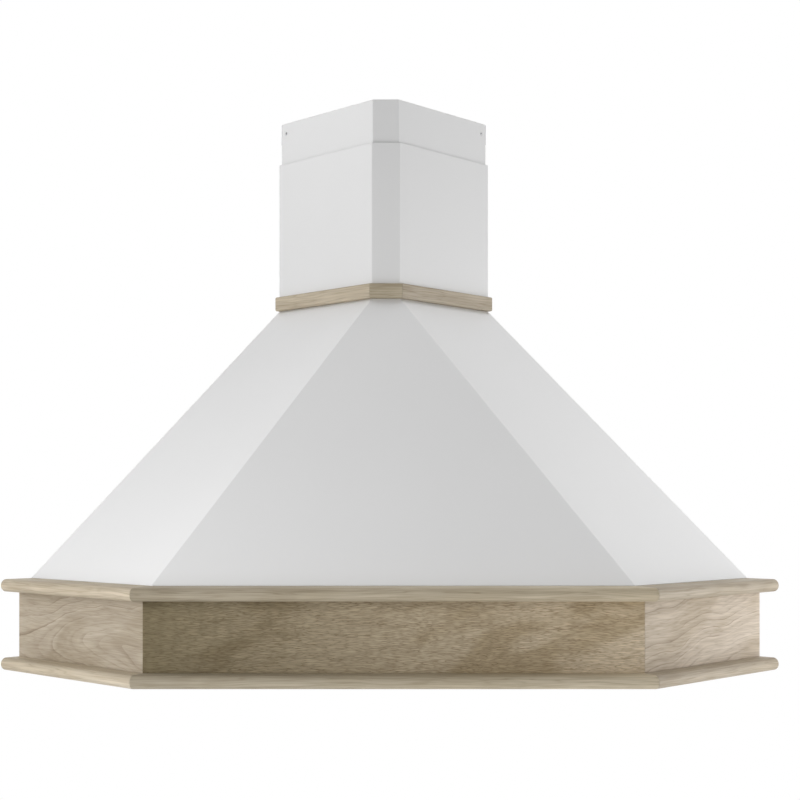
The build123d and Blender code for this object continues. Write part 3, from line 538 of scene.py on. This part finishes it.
def moulded(name, colour, worn, rough, grains):
    """Etched plastic with so many grains to the metre."""
    material, wire, place = new_finish(name)
    etched = wire.add("ShaderNodeTexVoronoi", {"Vector": place, "Scale": grains}, out="Distance")
    flow = noise(place, 18.0, detail=3.0)
    dress(wire, {"Base Color": flow.step(0.3, 0.7).between(colour, worn),
                 "Roughness": rough + etched * 0.12,
                 "Normal": relief(etched, strength=0.22, depth=0.0003, edge=0.0006)})
    return material


dark_plastic = moulded("dark_plastic_grain", (0.055, 0.056, 0.06, 1), (0.072, 0.073, 0.078, 1),
                       rough=0.46, grains=1400.0)
paint(dark_plastic, "cable_gland", "damper_flap_front", "damper_flap_rear", "filter_left_latch",
      "filter_right_latch", "outlet_collar")
paint(moulded("case_plastic_grain", (0.15, 0.158, 0.17, 1), (0.18, 0.188, 0.20, 1),
              rough=0.5, grains=900.0),
      "blower_case_left", "blower_case_right", "electronics_box", "electronics_cover", "impeller")
paint(moulded("control_plastic_grain", (0.72, 0.72, 0.71, 1), (0.69, 0.69, 0.68, 1),
              rough=0.42, grains=1600.0),
      "control_bezel")
paint(moulded("button_plastic_gloss", (0.52, 0.53, 0.54, 1), (0.49, 0.50, 0.51, 1),
              rough=0.22, grains=2400.0),
      "button_light", "button_off", "button_speed_1", "button_speed_2", "button_speed_3")
print("plastics done")

# %% Lamp glass
lens_ring = 0.0025


def frosted_glass(name, middle):
    material, wire, place = new_finish(name)
    centred = wire.add("ShaderNodeMapping", {"Vector": place, "Location": (-middle[0], -middle[1], 0)})
    rings = wire.maths("SINE", off_axis(centred) * (2 * math.pi / lens_ring))
    frost = noise(place, 2500.0)
    dress(wire, {"Base Color": frost.between((0.96, 0.97, 0.97, 1), (0.88, 0.90, 0.90, 1)),
                 "Roughness": 0.3 + frost * 0.2, "Transmission Weight": 0.3, "IOR": 1.5,
                 "Normal": relief(rings * 0.5 + frost * 0.4, strength=0.4, depth=0.0005)})
    return material


for side in ("left", "right"):
    low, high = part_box(f"lamp_{side}_lens")
    paint(frosted_glass(f"frosted_glass_{side}", (low + high) / 2), f"lamp_{side}_lens")
    print(side, "lamp glass done")

# %% Circuit board


def circuit_board(name):
    material, wire, place = new_finish(name)
    tracks = wire.add("ShaderNodeTexBrick", {"Vector": place, "Scale": 120.0, "Mortar Size": 0.03}, out="Fac")
    mask = noise(place, 300.0)
    dress(wire, {"Base Color": tracks.between((0.02, 0.13, 0.055, 1), (0.05, 0.26, 0.10, 1)),
                 "Roughness": 0.3 + mask * 0.15, "Normal": relief(tracks, strength=0.3, depth=0.0002)})
    return material


paint(circuit_board("solder_mask"), "control_board")
print("circuit board done")

# %% [markdown]
# ## Filter mesh
# A grease filter is a pack of expanded aluminium: sheet slit and pulled open until it is a net of diamonds.
# Each strand zigzags, and the next one is shifted by half a diamond so that their bends meet. That is a
# rule, so Geometry Nodes build it: one zigzag strand from a line of points, repeated row by row. Three
# layers lie across each other, as in the real pack, and stand for the plain mesh plates of the CAD model.
# The helpers make a tree with named sizes, end it, and turn what it grows into a plain mesh.

# %% Geometry tree helpers


def geometry_tree(name, sizes):
    """An empty tree with the given inputs, and a wire from the first of them."""
    tree = bpy.data.node_groups.new(name, "GeometryNodeTree")
    for label, kind in sizes.items():
        tree.interface.new_socket(label, in_out="INPUT", socket_type=f"NodeSocket{kind}")
    tree.interface.new_socket("Piece", in_out="OUTPUT", socket_type="NodeSocketGeometry")
    return tree, Wire(tree).add("NodeGroupInput")


def hand_out(inlet, geometry):
    """Ends a tree: instances become real and take the finish."""
    real = inlet.add("GeometryNodeRealizeInstances", {0: geometry})
    inlet.add("NodeGroupOutput", {
        0: inlet.add("GeometryNodeSetMaterial", {"Geometry": real, "Material": inlet.pin("Finish")})})


def grow(name, tree, values):
    """Runs a tree once and returns its result as a plain object at the origin."""
    piece = bpy.data.objects.new(name, bpy.data.meshes.new(name))
    scene.collection.objects.link(piece)
    maker = piece.modifiers.new("maker", "NODES")
    maker.node_group = tree
    for item in tree.interface.items_tree:
        if item.in_out == "INPUT":
            maker[item.identifier] = values[item.name]
    ready = piece.evaluated_get(bpy.context.evaluated_depsgraph_get())
    mesh = bpy.data.meshes.new_from_object(ready)
    piece.modifiers.remove(maker)
    piece.data = mesh
    mesh.name = name
    return piece


print("geometry helpers ready")

# %% Expanded metal tree: one strand
net, net_in = geometry_tree("expanded_metal", {
    "Steps": "Int", "Rows": "Int", "Diamond": "Float", "Row": "Float", "Strand": "Float", "Gauge": "Float",
    "Lift": "Float", "Turn": "Float", "Middle": "Vector", "Finish": "Material"})
steps, rows, row_pitch = net_in.pin("Steps"), net_in.pin("Rows"), net_in.pin("Row")
half_step = net_in.pin("Diamond") * 0.5
rank = net_in.add("GeometryNodeInputIndex")
odd = rank.maths("MODULO", rank, 2.0)

bends = net_in.add("GeometryNodeMeshLine", {
    "Count": steps, "Offset": net_in.add("ShaderNodeCombineXYZ", {0: half_step}),
    "Start Location": net_in.add("ShaderNodeCombineXYZ", {0: (steps + 0.5) * half_step * -0.5})})
zigzag = net_in.add("GeometryNodeSetPosition", {
    "Geometry": bends, "Offset": net_in.add("ShaderNodeCombineXYZ", {
        1: (odd - 0.5) * row_pitch, 2: (odd - 0.5) * net_in.pin("Lift")})})
section = net_in.add("GeometryNodeCurvePrimitiveQuadrilateral", {
    0: net_in.pin("Strand"), 1: net_in.pin("Gauge")})
strand = net_in.add("GeometryNodeCurveToMesh", {
    "Curve": net_in.add("GeometryNodeMeshToCurve", {0: zigzag}), "Profile Curve": section,
    "Fill Caps": True})
print("one strand:", len(net.nodes), "nodes")

# %% Expanded metal tree: rows of strands
starts = net_in.add("GeometryNodeMeshLine", {
    "Count": rows, "Offset": net_in.add("ShaderNodeCombineXYZ", {1: row_pitch}),
    "Start Location": net_in.add("ShaderNodeCombineXYZ", {1: (rows - 1) * row_pitch * -0.5})})
staggered = net_in.add("GeometryNodeSetPosition", {
    "Geometry": starts, "Offset": net_in.add("ShaderNodeCombineXYZ", {0: odd * half_step})})
laid = net_in.add("GeometryNodeInstanceOnPoints", {"Points": staggered, "Instance": strand})
hand_out(net_in, net_in.add("GeometryNodeTransform", {
    "Geometry": laid, "Translation": net_in.pin("Middle"),
    "Rotation": net_in.add("ShaderNodeCombineXYZ", {2: net_in.pin("Turn")})}))
print("expanded metal tree:", len(net.nodes), "nodes")

# %% Filter meshes
diamond, row = 0.0085, 0.0031
strand_width, strand_gauge, strand_lift = 0.0011, 0.0005, 0.0003
side_margin, end_margin = 0.003, 0.004
layers = ((0.0006, 0, 0.0), (0.0015, 90, 0.0), (0.0024, 0, row / 2))  # level, turn and slip along Y


def mesh_layer(length, breadth, middle, turn):
    return grow("layer", net, {
        "Steps": int(2 * (length - 2 * end_margin) / diamond), "Rows": int((breadth - 2 * side_margin) / row),
        "Diamond": diamond, "Row": row, "Strand": strand_width, "Gauge": strand_gauge, "Lift": strand_lift,
        "Turn": math.radians(turn), "Middle": middle, "Finish": aluminium})


for side in ("left", "right"):
    low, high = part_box(f"filter_{side}_mesh")
    middle, span = (low + high) / 2, high - low
    pack = bmesh.new()
    for level, turn, slip in layers:
        length, breadth = (span.y, span.x) if turn else (span.x, span.y)
        layer = mesh_layer(length, breadth, (middle.x, middle.y + slip, low.z + level), turn)
        pack.from_mesh(layer.data)
        bpy.data.objects.remove(layer)
    filter_net = made(f"filter_{side}_net", pack)
    filter_net.data.materials.append(aluminium)
    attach(filter_net, f"filter_{side}")
    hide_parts(f"filter_{side}_mesh")
    print(filter_net.name, len(filter_net.data.polygons), "faces")

# %% [markdown]
# ## Grip ribs
# Each filter is let down by a small slide at its front edge. A finger drags it backwards, so the slide has
# ribs across the pull. They could be set one by one, but as one round bar, repeated along a line, they keep
# their number and pitch as inputs.

# %% Rib tree
ribs, rib_in = geometry_tree("grip_ribs", {
    "Count": "Int", "Pitch": "Float", "Length": "Float", "Radius": "Float", "Start": "Vector",
    "Finish": "Material"})
bar = rib_in.add("GeometryNodeMeshCylinder", {
    "Vertices": 12, "Radius": rib_in.pin("Radius"), "Depth": rib_in.pin("Length")})
lying = rib_in.add("GeometryNodeTransform", {"Geometry": bar, "Rotation": (0, math.radians(90), 0)})
stations = rib_in.add("GeometryNodeMeshLine", {
    "Count": rib_in.pin("Count"), "Start Location": rib_in.pin("Start"),
    "Offset": rib_in.add("ShaderNodeCombineXYZ", {1: rib_in.pin("Pitch")})})
hand_out(rib_in, rib_in.add("GeometryNodeInstanceOnPoints", {"Points": stations, "Instance": lying}))
print("rib tree:", len(ribs.nodes), "nodes")

# %% Latch ribs
pad_length, pad_margin = 0.011, 0.012
rib_pitch, rib_count, rib_radius = 0.0022, 4, 0.0006
for side in ("left", "right"):
    low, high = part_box(f"filter_{side}_latch")
    first = ((low.x + high.x) / 2, high.y - pad_length / 2 - rib_pitch * (rib_count - 1) / 2, low.z)
    grips = grow(f"latch_{side}_ribs", ribs, {
        "Count": rib_count, "Pitch": rib_pitch, "Length": high.x - low.x - pad_margin,
        "Radius": rib_radius, "Start": first, "Finish": dark_plastic})
    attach(grips, f"latch_{side}")
    print(grips.name, "from", [round(v, 4) for v in first])

# %% [markdown]
# ## Blower screws
# Four pan-head screws hold the outlet collar, the top plate and the blower together, and their heads show
# on the collar's flange. Half a ball would make a head with an open base, so the head is a closed drum whose
# rings are drawn in towards the top, and a Boolean node cuts the cross for the driver. One screw stands at
# each corner of the box of the CAD screws.

# %% Screw tree: the head
dome = 0.35  # the share of its radius by which the head's top is drawn in
wing_length, wing_width = 0.95, 0.24  # one wing of the cross, in head radii
wing_levels = ((0, 0.5), (90, 0.56))  # turn, and rise in head heights, unequal so that no faces coincide
screws, screw_in = geometry_tree("pan_head_screws", {
    "Across": "Float", "Deep": "Float", "Seat": "Vector", "Head": "Float", "Height": "Float",
    "Shank": "Float", "Length": "Float", "Finish": "Material"})
head, height = screw_in.pin("Head"), screw_in.pin("Height")

drum = screw_in.add("GeometryNodeMeshCylinder", {
    "Vertices": 32, "Side Segments": 6, "Radius": head, "Depth": height})
here = screw_in.add("GeometryNodeInputPosition")
up = screw_in.add("ShaderNodeSeparateXYZ", {0: here}, out="Z") / height + 0.5
draw_in = 1 - up * up * dome
drawn = screw_in.add("ShaderNodeVectorMath", {
    0: here, 1: screw_in.add("ShaderNodeCombineXYZ", {0: draw_in, 1: draw_in, 2: 1.0})},
    operation="MULTIPLY")
domed = screw_in.add("GeometryNodeSetPosition", {"Geometry": drum, "Position": drawn})

wing = screw_in.add("GeometryNodeMeshCube", {"Size": screw_in.add("ShaderNodeCombineXYZ", {
    0: head * wing_length, 1: head * wing_width, 2: height})})
recess = screw_in.add("GeometryNodeMeshBoolean", {"Mesh 1": domed}, operation="DIFFERENCE")
for turn, level in wing_levels:
    placed = screw_in.add("GeometryNodeTransform", {
        "Geometry": wing, "Translation": screw_in.add("ShaderNodeCombineXYZ", {2: height * level}),
        "Rotation": (0, 0, math.radians(turn))})
    screw_in.feed(recess.socket.node, {"Mesh 2": placed})
print("screw head:", len(screws.nodes), "nodes")

# %% Screw tree: shank and places
shank_drop = 0.2  # the shank's top below the head's middle, in head heights
shank_length = screw_in.pin("Length")
shank = screw_in.add("GeometryNodeTransform", {
    "Geometry": screw_in.add("GeometryNodeMeshCylinder", {
        "Vertices": 16, "Radius": screw_in.pin("Shank"), "Depth": shank_length}),
    "Translation": screw_in.add("ShaderNodeCombineXYZ", {2: shank_length * -0.5 - height * shank_drop})})
whole = screw_in.add("GeometryNodeJoinGeometry", {"Geometry": recess})
screw_in.feed(whole.socket.node, {"Geometry": shank})
corners = screw_in.add("GeometryNodeTransform", {
    "Geometry": screw_in.add("GeometryNodeMeshGrid", {
        "Size X": screw_in.pin("Across"), "Size Y": screw_in.pin("Deep"),
        "Vertices X": 2, "Vertices Y": 2}),
    "Translation": screw_in.pin("Seat")})
hand_out(screw_in, screw_in.add("GeometryNodeInstanceOnPoints", {"Points": corners, "Instance": whole}))
print("screw tree:", len(screws.nodes), "nodes")

# %% Blower screws
head_radius, head_height, shank_radius = 0.0036, 0.0022, 0.0017
low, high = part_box("blower_screws")
blower_heads = grow("blower_screw_heads", screws, {
    "Across": high.x - low.x - 2 * head_radius, "Deep": high.y - low.y - 2 * head_radius,
    "Seat": ((low.x + high.x) / 2, (low.y + high.y) / 2, high.z - head_height / 2),
    "Head": head_radius, "Height": head_height, "Shank": shank_radius,
    "Length": high.z - low.z - head_height * (0.5 + shank_drop),
    "Finish": cast_metal("bright_zinc", (0.50, 0.51, 0.53, 1), (0.42, 0.43, 0.45, 1))})
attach(blower_heads, "hood")
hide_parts("blower_screws")
print(blower_heads.name, len(blower_heads.data.polygons), "faces")

# %% [markdown]
# ## Key marks
# The keys are pressed from below, so their marks read right for someone who stands in front and looks up.
# Speeds are numbers, off is a nought, and the light key has a small sun: a disc with rays. Text becomes a
# mesh first and is then turned over and set on the key's face.

# %% Figures on the keys
ink = moulded("key_ink", (0.04, 0.04, 0.045, 1), (0.05, 0.05, 0.055, 1), rough=0.5, grains=2600.0)
ink_depth = 0.00024
figure_size = 0.009


def set_on_key(mesh, key, body):
    low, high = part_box(key)
    mesh.transform(Matrix.Translation(((low.x + high.x) / 2, (low.y + high.y) / 2, low.z))
                   @ Matrix.Rotation(math.pi, 4, "X"))
    mesh.materials.clear()
    mesh.materials.append(ink)
    mark = bpy.data.objects.new(f"{body}_mark", mesh)
    scene.collection.objects.link(mark)
    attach(mark, body)
    print(mark.name, "on", key)


for use, figure in (("off", "0"), ("speed_1", "1"), ("speed_2", "2"), ("speed_3", "3")):
    words = bpy.data.curves.new(figure, "FONT")
    words.body = figure
    words.size = figure_size
    words.align_x = "CENTER"
    words.align_y = "CENTER"
    words.extrude = ink_depth / 2
    draft = bpy.data.objects.new("draft", words)
    scene.collection.objects.link(draft)
    cut = bpy.data.meshes.new_from_object(draft.evaluated_get(bpy.context.evaluated_depsgraph_get()))
    bpy.data.objects.remove(draft)
    set_on_key(cut, f"button_{use}", f"key_{use}")

# %% Sun on the light key
disc_radius = 0.0021
ray_middle, ray_length, ray_width = 0.0036, 0.0014, 0.0006
ray_shape = Matrix.Translation((ray_middle, 0, 0)) @ Matrix.Diagonal((ray_length, ray_width, ink_depth, 1))
sun = bmesh.new()
for angle in range(0, 360, 45):
    bmesh.ops.create_cube(sun, size=1.0, matrix=Matrix.Rotation(math.radians(angle), 4, "Z") @ ray_shape)
bmesh.ops.create_cone(sun, cap_ends=True, segments=32, radius1=disc_radius, radius2=disc_radius,
                      depth=ink_depth)
sun_mesh = bpy.data.meshes.new("sun")
sun.to_mesh(sun_mesh)
sun.free()
set_on_key(sun_mesh, "button_light", "key_light")
